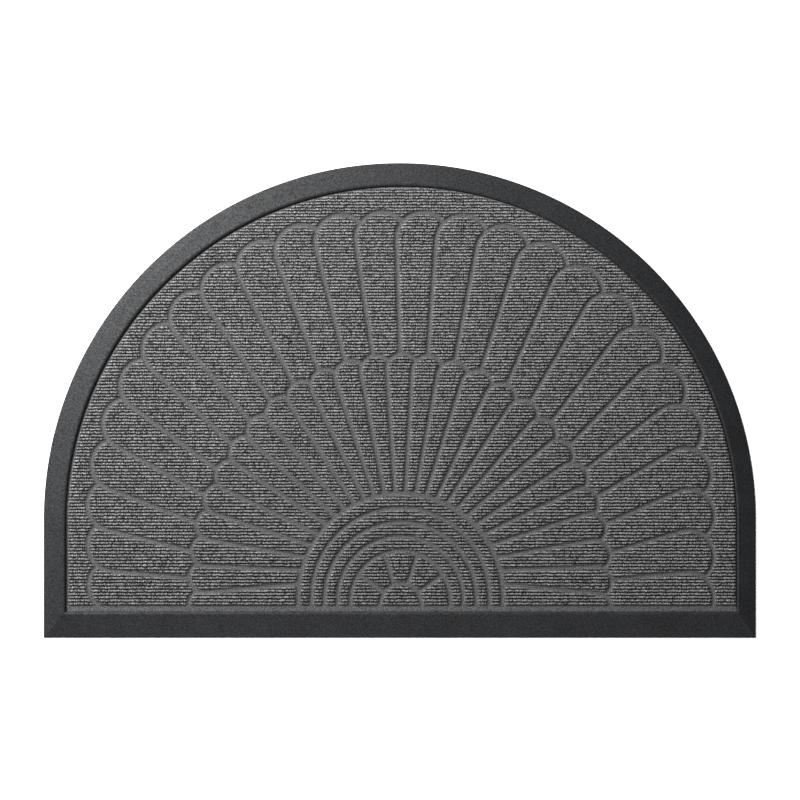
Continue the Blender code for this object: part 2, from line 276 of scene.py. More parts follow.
@dataclass(frozen=True)
class ArchSide:
    """A side along an arch, with the field within it or round it."""

    arch: Arch
    within: bool

    def inside(self, x: np.ndarray, y: np.ndarray) -> np.ndarray:
        """Distance of points from the arch, positive towards the field."""
        depth = self.arch.radius - self.arch.spread(x, y)
        return depth if self.within else -depth


@dataclass(frozen=True)
class Drift:
    """How far the press set a row's round ends off their arch, at one place along it."""

    travel: float
    along: float
    outward: float


@dataclass(frozen=True)
class PetalRow:
    """A row of petals along an arch, each lapping over its neighbour on the left."""

    arch: Arch
    spacing: float
    start: float
    end_radius: float
    first: int
    last: int
    drifts: tuple[Drift, ...]
    spare_ends: int = 2

    def end(self, number: int, reach: float = 0.0) -> Point:
        """Find the middle of a petal's round end.

        Args:
            number: The petal's number, counted clockwise.
            reach: How far outside that middle to go.

        Returns:
            The point.
        """
        travel = self.start + number * self.spacing
        places = [drift.travel for drift in self.drifts]
        along = np.interp(travel, places, [drift.along for drift in self.drifts])
        outward = np.interp(travel, places, [drift.outward for drift in self.drifts])
        (x, y), out = self.arch.at(travel + float(along))
        reach = reach + float(outward)
        return (x + out[0] * reach, y + out[1] * reach)

    def past_ends(self, x: np.ndarray, y: np.ndarray) -> np.ndarray:
        """Find how far past the row's scalloped line points lie.

        Args:
            x: X of the points.
            y: Y of the points.

        Returns:
            Their distance outside the line, minus within it.
        """
        numbers = range(self.first - self.spare_ends, self.last + self.spare_ends + 1)
        middles = np.array([self.end(number) for number in numbers])
        travel = self.arch.travel(x, y)
        nearest = np.round((travel - self.start) / self.spacing).astype(int) - numbers.start
        away = np.full(x.shape, np.inf)
        for step in (-1, 0, 1):
            middle = middles[np.clip(nearest + step, 0, len(middles) - 1)]
            away = np.minimum(away, np.hypot(x - middle[..., 0], y - middle[..., 1]))
        outside = self.arch.spread(x, y) > self.arch.radius
        return np.where(outside, away - self.end_radius, -self.end_radius)


@dataclass(frozen=True)
class RaisedField:
    """A field of standing pile between pressed grooves, inside some sides and outside others.

    Its tone is how bright its pile is next to the margin's.
    """

    within: tuple[Side, ...]
    rounding: float
    tone: float
    beyond: tuple[Side, ...] = ()
    past: PetalRow | None = None

    def inside(self, x: np.ndarray, y: np.ndarray) -> np.ndarray:
        """Find how far inside the field points lie.

        Args:
            x: X of the points.
            y: Y of the points.

        Returns:
            Their distance from the middle lines of the grooves round it, minus outside.
        """
        distances = [side.inside(x, y) for side in self.within]
        distances += [-side.inside(x, y) for side in self.beyond]
        if self.past:
            distances.append(self.past.past_ends(x, y))
        return smooth_least(distances, self.rounding)


@dataclass(frozen=True)
class ShellPattern:
    """The pressed pattern: two rows of petals, four rings and a small fan."""

    field_bottom: float = -259.5 * MM
    groove_width: float = 4.6 * MM
    outer_row: PetalRow = PetalRow(
        arch=Arch(0.9 * MM, -151.6 * MM, 363.5 * MM),
        spacing=53.0 * MM,
        start=31.1 * MM,
        end_radius=33.0 * MM,
        first=-13,
        last=12,
        drifts=(
            Drift(-660 * MM, 5.0 * MM, -2.5 * MM),
            Drift(-554 * MM, 1.0 * MM, -0.5 * MM),
            Drift(-500 * MM, -1.0 * MM, 0.6 * MM),
            Drift(-340 * MM, 0.0 * MM, 0.6 * MM),
            Drift(-180 * MM, 0.0 * MM, 0.6 * MM),
            Drift(-75 * MM, -1.3 * MM, -2.5 * MM),
            Drift(-22 * MM, -2.5 * MM, -6.3 * MM),
            Drift(31 * MM, -2.5 * MM, -6.3 * MM),
            Drift(85 * MM, -5.0 * MM, -2.5 * MM),
            Drift(138 * MM, -5.0 * MM, -0.6 * MM),
            Drift(296 * MM, -3.8 * MM, 1.3 * MM),
            Drift(457 * MM, 2.5 * MM, 1.9 * MM),
            Drift(510 * MM, 5.0 * MM, 0.6 * MM),
            Drift(616 * MM, 2.5 * MM, -0.6 * MM),
        ),
    )
    inner_row: PetalRow = PetalRow(
        arch=Arch(1.0 * MM, -203.0 * MM, 241.4 * MM),
        spacing=33.54 * MM,
        start=2.0 * MM,
        end_radius=19.4 * MM,
        first=-13,
        last=13,
        drifts=(
            Drift(-403 * MM, 1.3 * MM, 6.3 * MM),
            Drift(-335 * MM, 0.0 * MM, 1.9 * MM),
            Drift(-267 * MM, 0.0 * MM, -1.3 * MM),
            Drift(-200 * MM, 2.5 * MM, -1.3 * MM),
            Drift(-133 * MM, 2.5 * MM, 0.6 * MM),
            Drift(0 * MM, 0.0 * MM, 1.3 * MM),
            Drift(103 * MM, -3.8 * MM, 0.0 * MM),
            Drift(203 * MM, -1.3 * MM, -2.5 * MM),
            Drift(237 * MM, 0.0 * MM, -2.5 * MM),
            Drift(305 * MM, 1.3 * MM, 0.0 * MM),
            Drift(406 * MM, 1.3 * MM, 5.7 * MM),
        ),
    )
    left_tip_turn: float = 0.08
    right_tip_turn: float = 0.14
    inner_aim: Point = (1.0 * MM, -219.9 * MM)
    lowest_start: float = -280.0 * MM
    strip_radii: float = 2.0
    lowest_strip_radii: float = 3.0
    outer_ring: Arch = Arch(1.0 * MM, -246.8 * MM, 128.7 * MM)
    ring_pitch: float = 16.47 * MM
    ring_drop: float = 1.57 * MM
    ring_gap: float = 0.8 * MM
    rings: int = 4
    hub_middle: Point = (1.3 * MM, -256.1 * MM)
    hub_reach: float = 24.9 * MM
    fan_middle: Point = (1.3 * MM, -258.4 * MM)
    fan_cells: int = 5
    petal_rounding: float = 1.1 * MM
    ring_rounding: float = 1.3 * MM
    fan_rounding: float = 0.9 * MM
    margin_rounding: float = 0.7 * MM
    outer_tone: float = 0.98
    inner_tone: float = 0.93
    ring_tone: float = 0.86
    fan_tone: float = 0.85

    def bottom_side(self) -> StraightSide:
        """The side towards the pressed strip along the straight edge."""
        return StraightSide((0.0, self.field_bottom - self.groove_width / 2), (0.0, 1.0))

    def petal_side(self, row: PetalRow, number: int, start: Point) -> PetalSide:
        """Draw the outline of a petal.

        Args:
            row: The petal's row.
            number: Its number.
            start: Where its divider starts, but for the outlines under the row's lowest petals,
                which start below the straight edge, so that these petals run down to it.

        Returns:
            The outline.
        """
        width = self.strip_radii * row.end_radius
        if number in (row.first, row.last + 1):
            start = (start[0], self.lowest_start)
            width = self.lowest_strip_radii * row.end_radius
        return PetalSide.touching(start, row.end(number), row.end_radius, width)

    def outer_side(self, number: int) -> PetalSide:
        """Draw the outline of a petal of the outer row, whose divider starts at an inner petal's end.

        Args:
            number: The petal's number.

        Returns:
            The outline.
        """
        middle = self.inner_row.end(number)
        tip = self.inner_row.end(number, self.inner_row.end_radius)
        turn = self.right_tip_turn if number >= 0 else self.left_tip_turn
        reach_x, reach_y = tip[0] - middle[0], tip[1] - middle[1]
        start = (
            middle[0] + reach_x * math.cos(turn) - reach_y * math.sin(turn),
            middle[1] + reach_x * math.sin(turn) + reach_y * math.cos(turn),
        )
        return self.petal_side(self.outer_row, number, start)

    def inner_side(self, number: int) -> PetalSide:
        """The outline of a petal of the inner row, which aims at the middle of the rings."""
        return self.petal_side(self.inner_row, number, self.inner_aim)

    def outer_petals(self) -> list[RaisedField]:
        """Make the fields of the outer row.

        Returns:
            The wide petals, from the left.
        """
        numbers = range(self.outer_row.first, self.outer_row.last + 1)
        return [
            RaisedField(
                within=(self.outer_side(number), self.bottom_side()),
                rounding=self.petal_rounding,
                tone=self.outer_tone,
                beyond=(self.outer_side(number + 1),),
                past=self.inner_row,
            )
            for number in numbers
        ]

    def inner_petals(self) -> list[RaisedField]:
        """Make the fields of the inner row.

        Returns:
            The narrow petals, from the left.
        """
        ring = self.outer_ring
        core = Arch(ring.x, ring.y, ring.radius + self.ring_gap)
        numbers = range(self.inner_row.first, self.inner_row.last + 1)
        return [
            RaisedField(
                within=(self.inner_side(number), self.bottom_side(), ArchSide(core, False)),
                rounding=self.petal_rounding,
                tone=self.inner_tone,
                beyond=(self.inner_side(number + 1),),
            )
            for number in numbers
        ]

    def ring_groove(self, number: int) -> Arch:
        """The middle line of a groove between rings, 0 outermost."""
        ring = self.outer_ring
        return Arch(ring.x, ring.y - self.ring_drop * number, ring.radius - self.ring_pitch * number)

    def ring_fields(self) -> list[RaisedField]:
        """Make the fields of the rings.

        Returns:
            The raised rings, from the outside in.
        """
        fields = []
        for number in range(self.rings):
            around = ArchSide(self.ring_groove(number), True)
            core = ArchSide(self.ring_groove(number + 1), False)
            sides = (around, core, self.bottom_side())
            fields.append(RaisedField(sides, self.ring_rounding, self.ring_tone))
        return fields

    def fan_fields(self) -> list[RaisedField]:
        """Make the fields of the small fan inside the rings.

        Returns:
            Its cells, from the right, and the hub under them.
        """
        around = ArchSide(self.ring_groove(self.rings), True)
        fields, hub_sides = [], []
        for number in range(self.fan_cells):
            low = math.pi * number / self.fan_cells
            high = math.pi * (number + 1) / self.fan_cells
            way = (math.cos((low + high) / 2), math.sin((low + high) / 2))
            hub = (
                self.hub_middle[0] + self.hub_reach * way[0],
                self.hub_middle[1] + self.hub_reach * way[1],
            )
            sides = [around, StraightSide(hub, way), self.bottom_side()]
            hub_sides.append(StraightSide(hub, (-way[0], -way[1])))
            if number > 0:
                sides.append(StraightSide(self.fan_middle, (-math.sin(low), math.cos(low))))
            if number < self.fan_cells - 1:
                sides.append(StraightSide(self.fan_middle, (math.sin(high), -math.cos(high))))
            fields.append(RaisedField(tuple(sides), self.fan_rounding, self.fan_tone))
        hub = (*hub_sides, self.bottom_side())
        fields.append(RaisedField(hub, self.fan_rounding, self.fan_tone))
        return fields


# Finishes


@dataclass(frozen=True)
class Grain:
    """Noise on a piece's own coordinates: steps in a metre, octaves, and how much finer along X and Y."""

    scale: float
    detail: float
    stretch: Point = (1.0, 1.0)

    def add(self, tree: bpy.types.NodeTree) -> bpy.types.NodeSocket:
        """Add the noise to a material.

        Args:
            tree: The material's node tree.

        Returns:
            The noise's value.
        """
        place = tree.nodes.new("ShaderNodeTexCoord")
        mapping = tree.nodes.new("ShaderNodeMapping")
        mapping.inputs["Scale"].default_value = (self.stretch[0], self.stretch[1], 1.0)
        texture = tree.nodes.new("ShaderNodeTexNoise")
        texture.inputs["Scale"].default_value = self.scale
        texture.inputs["Detail"].default_value = self.detail
        tree.links.new(place.outputs["Object"], mapping.inputs["Vector"])
        tree.links.new(mapping.outputs["Vector"], texture.inputs["Vector"])
        return texture.outputs["Fac"]

    def spread(self, tree: bpy.types.NodeTree, middle: float, reach: float) -> bpy.types.NodeSocket:
        """Add the noise to a material, spread over a range of values.

        Args:
            tree: The material's node tree.
            middle: The middle of the range.
            reach: How far the range goes up and down from its middle.

        Returns:
            The spread value.
        """
        node = tree.nodes.new("ShaderNodeMapRange")
        node.inputs["From Min"].default_value = NOISE_LOW
        node.inputs["From Max"].default_value = NOISE_HIGH
        node.inputs["To Min"].default_value = middle - reach
        node.inputs["To Max"].default_value = middle + reach
        tree.links.new(self.add(tree), node.inputs["Value"])
        return node.outputs["Result"]


@dataclass(frozen=True)
class GreyRamp:
    """A ramp from grey to grey: its stops, the grey at each, and how far they lean to blue."""

    stops: tuple[float, ...]
    greys: tuple[float, ...]
    blue: float = 0.0

    def read(self, tree: bpy.types.NodeTree, value: bpy.types.NodeSocket) -> bpy.types.NodeSocket:
        """Turn a value into a grey.

        Args:
            tree: The material's node tree.
            value: The value, from 0 to 1.

        Returns:
            The grey.
        """
        ramp = tree.nodes.new("ShaderNodeValToRGB")
        elements = ramp.color_ramp.elements
        for place in self.stops[1:-1]:
            elements.new(place)
        for element, place, tint in zip(elements, self.stops, self.greys):
            element.position = place
            element.color = grey(tint, self.blue)
        tree.links.new(value, ramp.inputs["Fac"])
        return ramp.outputs["Color"]


def grey(value: float, blue: float = 0.0) -> Colour:
    """A grey, or one that leans to blue by a share."""
    return (value * (1.0 - blue / 2), value, value * (1.0 + blue), 1.0)


def new_material(name: str, roughness: float, specular: float) -> tuple[bpy.types.Material, bpy.types.Node]:
    """Start a material.

    Args:
        name: The material's name.
        roughness: The roughness on the shader's own socket.
        specular: The specular level on the shader's own socket.

    Returns:
        The material and its shader.
    """
    material = bpy.data.materials.new(name)
    material.use_nodes = True
    shader = material.node_tree.nodes["Principled BSDF"]
    shader.inputs["Roughness"].default_value = roughness
    shader.inputs["Specular IOR Level"].default_value = specular
    return material, shader


def blend(
    tree: bpy.types.NodeTree,
    way: Blend,
    first: bpy.types.NodeSocket,
    second: bpy.types.NodeSocket,
    share: bpy.types.NodeSocket | None = None,
) -> bpy.types.NodeSocket:
    """Join two colours.

    Args:
        tree: The material's node tree.
        way: How they are joined.
        first: The first colour.
        second: The second colour.
        share: How far it goes at each point; all the way where it is left out.

    Returns:
        The joined colour.
    """
    node = tree.nodes.new("ShaderNodeMix")
    node.data_type = "RGBA"
    node.blend_type = way.value
    node.inputs["Factor"].default_value = 1.0
    if share is not None:
        tree.links.new(share, node.inputs["Factor"])
    colours = [socket for socket in node.inputs if socket.type == "RGBA"]
    tree.links.new(first, colours[0])
    tree.links.new(second, colours[1])
    return next(socket for socket in node.outputs if socket.type == "RGBA")


def read_attribute(tree: bpy.types.NodeTree, trait: Trait) -> bpy.types.NodeSocket:
    """Read a value that the piece's points carry.

    Args:
        tree: The material's node tree.
        trait: Which of the carpet's values.

    Returns:
        The value.
    """
    node = tree.nodes.new("ShaderNodeAttribute")
    node.attribute_name = trait.value
    return node.outputs["Fac"]


def add_bump(
    tree: bpy.types.NodeTree, shader: bpy.types.Node, height: bpy.types.NodeSocket, depth: float
) -> None:
    """Give a shader's surface fine unevenness.

    Args:
        tree: The material's node tree.
        shader: The shader.
        height: The height of the unevenness, from 0 to 1.
        depth: Its real depth in metres.
    """
    bump = tree.nodes.new("ShaderNodeBump")
    bump.inputs["Distance"].default_value = depth
    bump.inputs["Strength"].default_value = 1.0
    tree.links.new(height, bump.inputs["Height"])
    tree.links.new(bump.outputs["Normal"], shader.inputs["Normal"])


@dataclass(frozen=True)
class PileFinish:
    """Heathered grey fibre, matted where it is pressed, and darker down between the ribs, partly from its
    dark base fibre and partly from painted shade.
    """

    name: str = "heathered_grey_pile"
    roughness: float = 0.93
    specular: float = 0.1
    flecks: Grain = Grain(scale=720.0, detail=3.0, stretch=(1.2, 1.0))
    fibres: GreyRamp = GreyRamp(stops=(0.41, 0.5, 0.59), greys=(0.03, 0.155, 0.39))
    # Darker down in the rib valleys: partly the dark base fibre, partly painted shade where the valleys lie
    # in shadow.
    valley_fibre_and_painted_shade: GreyRamp = GreyRamp(stops=(0.15, 0.5, 0.8), greys=(0.03, 0.75, 1.0))
    matting: Grain = Grain(scale=700.0, detail=3.0)
    matted_fibres: GreyRamp = GreyRamp(stops=(0.38, 0.62), greys=(0.028, 0.12))
    patches: Grain = Grain(scale=55.0, detail=2.0)
    patch_shade: GreyRamp = GreyRamp(stops=(0.3, 0.7), greys=(0.92, 1.0))
    fuzz: Grain = Grain(scale=1700.0, detail=3.0)
    fuzz_depth: float = 0.25 * MM

    def material(self) -> bpy.types.Material:
        """Build the material.

        Returns:
            The material, which reads all that the carpet's points carry.
        """
        material, shader = new_material(self.name, self.roughness, self.specular)
        tree = material.node_tree
        fibres = self.fibres.read(tree, self.flecks.add(tree))
        # Painted shade between the ribs, with the dark base fibre there, read from each point's rib height.
        valley_fibre_and_shade = self.valley_fibre_and_painted_shade.read(tree, read_attribute(tree, Trait.RIB))
        pile = blend(tree, Blend.MULTIPLY, fibres, valley_fibre_and_shade)
        pile = blend(tree, Blend.MULTIPLY, pile, read_attribute(tree, Trait.TONE))
        matted = self.matted_fibres.read(tree, self.matting.add(tree))
        colour = blend(tree, Blend.MIX, pile, matted, read_attribute(tree, Trait.PRESSED))
        patches = self.patch_shade.read(tree, self.patches.add(tree))
        colour = blend(tree, Blend.MULTIPLY, colour, patches)
        tree.links.new(colour, shader.inputs["Base Color"])
        add_bump(tree, shader, self.fuzz.add(tree), self.fuzz_depth)
        return material


@dataclass(frozen=True)
class RubberFinish:
    """Moulded charcoal rubber with a broad dull gloss and a fine mottled sheen."""

    name: str = "moulded_rubber"
    roughness: float = 0.6
    specular: float = 0.3
    clouds: Grain = Grain(scale=22.0, detail=5.0)
    colours: GreyRamp = GreyRamp(stops=(0.3, 0.7), greys=(0.007, 0.011), blue=0.12)
    gloss: Grain = Grain(scale=90.0, detail=4.0)
    gloss_spread: float = 0.02
    sheen: Grain = Grain(scale=520.0, detail=3.0)
    sheen_spread: float = 0.17
    skin: Grain = Grain(scale=520.0, detail=2.0)
    skin_depth: float = 0.16 * MM

    def material(self) -> bpy.types.Material:
        """Build the material.

        Returns:
            The material.
        """
        material, shader = new_material(self.name, self.roughness, self.specular)
        tree = material.node_tree
        tree.links.new(self.colours.read(tree, self.clouds.add(tree)), shader.inputs["Base Color"])
        gloss = self.gloss.spread(tree, self.roughness, self.gloss_spread)
        tree.links.new(gloss, shader.inputs["Roughness"])
        sheen = self.sheen.spread(tree, self.specular, self.sheen_spread)
        tree.links.new(sheen, shader.inputs["Specular IOR Level"])
        add_bump(tree, shader, self.skin.add(tree), self.skin_depth)
        return material


@dataclass(frozen=True)
class FloorFinish:
    """Plain white studio floor."""

    name: str = "white_floor"
    roughness: float = 0.9
    specular: float = 0.1
    shade: float = 0.93

    def material(self) -> bpy.types.Material:
        """Build the material.

        Returns:
            The material.
        """
        material, shader = new_material(self.name, self.roughness, self.specular)
        shader.inputs["Base Color"].default_value = grey(self.shade)
        return material


# Modelling helpers


def pick(piece: bpy.types.Object) -> None:
    """Select one piece alone and make it the active one.

    Args:
        piece: The piece.
    """
    bpy.ops.object.select_all(action="DESELECT")
    piece.select_set(True)
    bpy.context.view_layer.objects.active = piece


def add_grid(name: str, columns: int, rows: int) -> bpy.types.Object:
    """Add a flat grid as a start for a piece.

    Args:
        name: The piece's name.
        columns: Cells along X.
        rows: Cells along Y.

    Returns:
        The new object, selected alone, with its points ordered row by row.
    """
    bpy.ops.object.select_all(action="DESELECT")
    bpy.ops.mesh.primitive_grid_add(x_subdivisions=columns, y_subdivisions=rows, size=1.0)
    piece = bpy.context.object
    piece.name = name
    piece.data.name = name
    return piece


def place_points(piece: bpy.types.Object, x: np.ndarray, y: np.ndarray, z: np.ndarray) -> None:
    """Move all points of a piece's mesh to new places.

    Args:
        piece: The piece.
        x: X of the points.
        y: Y of the points.
        z: Z of the points.
    """
    places = np.stack([x.ravel(), y.ravel(), z.ravel()], axis=1)
    piece.data.vertices.foreach_set("co", places.astype(np.float32).ravel())
    piece.data.update()


def select_faces(piece: bpy.types.Object, chosen: np.ndarray) -> None:
    """Select some faces of a piece, and nothing else of it.

    Args:
        piece: The piece.
        chosen: For each face, whether it is selected.
    """
    mesh = piece.data
    for parts in (mesh.vertices, mesh.edges):
        parts.foreach_set("select", np.zeros(len(parts), dtype=bool))
    mesh.polygons.foreach_set("select", chosen)
    mesh.update()


def edit(piece: bpy.types.Object, select: str) -> None:
    """Enter edit mode on one piece.

    Args:
        piece: The piece.
        select: The select mode, such as FACE.
    """
    pick(piece)
    bpy.ops.object.mode_set(mode="EDIT")
    bpy.ops.mesh.select_mode(type=select)


def finish_edit() -> None:
    """Leave edit mode."""
    bpy.ops.object.mode_set(mode="OBJECT")


def close_below(piece: bpy.types.Object, underside: float) -> None:
    """Extrude a piece's open rim straight down and fill its underside.

    Args:
        piece: An open surface with one rim.
        underside: The height of the flat underside.
    """
    edit(piece, "EDGE")
    bpy.ops.mesh.select_all(action="SELECT")
    bpy.ops.mesh.region_to_loop()
    bpy.ops.mesh.extrude_edges_move(TRANSFORM_OT_translate={"value": (0.0, 0.0, -MM)})
    bpy.ops.transform.resize(value=(1.0, 1.0, 0.0), center_override=(0.0, 0.0, underside))
    bpy.ops.mesh.edge_face_add()
    bpy.ops.mesh.select_all(action="SELECT")
    bpy.ops.mesh.normals_make_consistent(inside=False)
    finish_edit()


def shade(piece: bpy.types.Object, angle: float) -> None:
    """Shade a piece smooth but for edges sharper than an angle in degrees."""
    pick(piece)
    bpy.ops.object.shade_smooth_by_angle(angle=math.radians(angle))


def dress(piece: bpy.types.Object, material: bpy.types.Material, node: str) -> None:
    """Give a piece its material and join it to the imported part.

    Args:
        piece: The finished piece.
        material: Its material.
        node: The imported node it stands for.
    """
    piece.data.materials.clear()
    piece.data.materials.append(material)
    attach(piece, BODY)
    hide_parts(node)
    piece.data.calc_loop_triangles()
    log.info("%s: %d triangles", piece.name, len(piece.data.loop_triangles))


# The rubber tray


@dataclass(frozen=True)
class TrayLevel:
    """One loop round the tray.

    It lies a share of the way from the mat's edge to the crest, and has a share of the cross ribs.
    """

    share: float
    height: float
    ribbed: float


@dataclass
class RubberTray:
    """The rubber backing: a flat sheet with a bevelled, finely cross-ribbed border."""

    edge: Arch = Arch(0.0, -150.0 * MM, 450.0 * MM)
    edge_bottom: float = -300.0 * MM
    crest: Arch = Arch(1.9 * MM, -153.3 * MM, 423.9 * MM)
    crest_bottom: float = -267.1 * MM
    rib_pitch: float = 1.75 * MM
    points_per_rib: int = 4
    rib_height: float = 0.08 * MM
    touch: float = 0.001 * MM
    weld: float = 0.004 * MM
    crease_angle: float = 50.0
    levels: tuple[TrayLevel, ...] = (
        TrayLevel(0.0, 0.0 * MM, 0.0),
        TrayLevel(0.0, 0.75 * MM, 0.0),
        TrayLevel(0.012, 1.15 * MM, 0.3),
        TrayLevel(0.05, 1.42 * MM, 1.0),
        TrayLevel(0.5, 3.3 * MM, 1.0),
        TrayLevel(0.85, 4.80 * MM, 1.0),
        TrayLevel(0.885, 4.95 * MM, 0.3),
        TrayLevel(0.93, 4.85 * MM, 0.0),
        TrayLevel(0.965, 4.50 * MM, 0.0),
        TrayLevel(0.99, 3.90 * MM, 0.0),
        TrayLevel(1.0, 3.10 * MM, 0.0),
        TrayLevel(1.003, 2.0 * MM, 0.0),
    )
    finish: RubberFinish = field(default_factory=RubberFinish)

    def run(self, length: float) -> np.ndarray:
        """Places along a side of a length, a few for each cross rib, without the last."""
        count = self.points_per_rib * round(length / self.rib_pitch)
        return np.arange(count) * length / count

    def loop(self, level: TrayLevel) -> tuple[np.ndarray, np.ndarray]:
        """Points round the tray at a level: up the left leg, over the arc, down, and along the bottom.

        Args:
            level: The level, whose share places the loop between edge and crest.

        Returns:
            The points' X and Y. Where two sides meet at a mitre, points of the longer run
            wait at the corner, and are merged later.
        """
        share = level.share
        x = self.edge.x + (self.crest.x - self.edge.x) * share
        y = self.edge.y + (self.crest.y - self.edge.y) * share
        radius = self.edge.radius + (self.crest.radius - self.edge.radius) * share
        bottom = self.edge_bottom + (self.crest_bottom - self.edge_bottom) * share
        height = self.edge.y - self.edge_bottom
        up = self.run(height) / height * (y - self.edge_bottom)
        turn = self.run(math.pi * self.edge.radius) / self.edge.radius
        base = self.edge.radius - self.run(2 * self.edge.radius)
        xs = (
            np.full(up.shape, x - radius),
            x - radius * np.cos(turn),
            np.full(up.shape, x + radius),
            np.clip(base, x - radius, x + radius),
        )
        ys = (
            np.maximum(self.edge_bottom + up, bottom),
            y + radius * np.sin(turn),
            np.maximum(y - up, bottom),
            np.full(base.shape, bottom),
        )
        return np.concatenate(xs), np.concatenate(ys)

    def build(self) -> bpy.types.Object:
        """Bend a grid into the border, weld it, cap the underside and the pocket, and dress it.

        Returns:
            The tray.
        """
        loops = [self.loop(level) for level in self.levels]
        count = len(loops[0][0])
        rib = 0.5 - 0.5 * np.cos(2 * math.pi * np.arange(count) / self.points_per_rib)
        tray = add_grid("rubber_tray", count, len(self.levels) - 1)
        rows = []
        for level, (x, y) in zip(self.levels, loops):
            waits = np.hypot(x - np.roll(x, 1), y - np.roll(y, 1)) < self.touch
            waits |= np.roll(waits, -1)
            z = level.height + self.rib_height * level.ribbed * np.where(waits, 0.0, rib - 1.0)
            rows.append([np.append(line, line[0]) for line in (x, y, z)])
        x, y, z = (np.stack([row[axis] for row in rows]) for axis in range(3))
        place_points(tray, x, y, z)
        edit(tray, "VERT")
        bpy.ops.mesh.select_all(action="SELECT")
        bpy.ops.mesh.remove_doubles(threshold=self.weld)
        bpy.ops.mesh.select_mode(type="EDGE")
        bpy.ops.mesh.select_all(action="SELECT")
        bpy.ops.mesh.region_to_loop()
        bpy.ops.mesh.edge_face_add()
        bpy.ops.mesh.select_all(action="SELECT")
        bpy.ops.mesh.normals_make_consistent(inside=False)
        finish_edit()
        shade(tray, self.crease_angle)
        dress(tray, self.finish.material(), BACKING_NODE)
        return tray


# The carpet


@dataclass
class Ribbing:
    """Rows of needled fibre along X, a little wavy and knobbly."""

    bottom_pitch: float = 4.05 * MM
    top_pitch: float = 3.75 * MM
    rows_per_rib: int = 5
    valley_share: float = 0.3
    sharpness: float = 0.8
    wave: float = 0.6 * MM
    wave_columns: float = 1.6
    wave_share: float = 0.5
    lump: float = 0.8
    lump_share: float = 0.5
    slow_seed: int = 11
    quick_seed: int = 31
    tuft_seed: int = 37
    lump_seed: int = 23
    count_slack: float = 1e-6

    def row_heights(self, bottom: float, top: float) -> tuple[np.ndarray, np.ndarray]:
        """Space the mesh rows, a few for each rib.

        Args:
            bottom: Y of the lowest row.
            top: Y of the highest row.

        Returns:
            Each row's Y, and its count of ribs from the bottom.
        """
        ribs = round((top - bottom) / ((self.bottom_pitch + self.top_pitch) / 2))
        pitches = np.linspace(self.bottom_pitch, self.top_pitch, ribs)
        starts = np.concatenate([[0.0], np.cumsum(pitches)])
        starts *= (top - bottom) / starts[-1]
        rows = (np.arange(ribs * self.rows_per_rib) + 0.5) / self.rows_per_rib
        rows = np.concatenate([[0.0], rows, [ribs]])
        return bottom + np.interp(rows, np.arange(ribs + 1), starts), rows

    def shift(self, columns: np.ndarray, ribs: np.ndarray) -> np.ndarray:
        """Find how far the ribs wander in Y, in slow waves and from column to column.

        Args:
            columns: Each point's column number.
            ribs: Each point's count of ribs from the bottom.

        Returns:
            The wander at each point.
        """
        slow = lattice_noise(columns / self.wave_columns, ribs, self.slow_seed)
        quick = lattice_noise(columns, ribs, self.quick_seed)
        return self.wave * (slow * self.wave_share + quick * (1.0 - self.wave_share))

    def height(self, columns: np.ndarray, ribs: np.ndarray) -> np.ndarray:
        """Find how high the ribs stand, with a tuft at every second column.

        Args:
            columns: Each point's column number.
            ribs: Each point's count of ribs from the bottom.

        Returns:
            The height at each point, from 0 in a valley to 1 on a full ridge.
        """
        wave = np.abs(np.sin(math.pi * ribs))
        profile = np.clip((wave - self.valley_share) / (1.0 - self.valley_share), 0.0, 1.0)
        whole = np.floor(ribs + self.count_slack)
        tufts = np.cos(math.pi * columns) * (0.5 + 0.5 * lattice_noise(columns, whole, self.tuft_seed))
        lumps = lattice_noise(columns, whole, self.lump_seed) * self.lump_share
        lumps = lumps + tufts * (1.0 - self.lump_share)
        return profile**self.sharpness * (1.0 - self.lump * (0.5 - 0.5 * lumps))


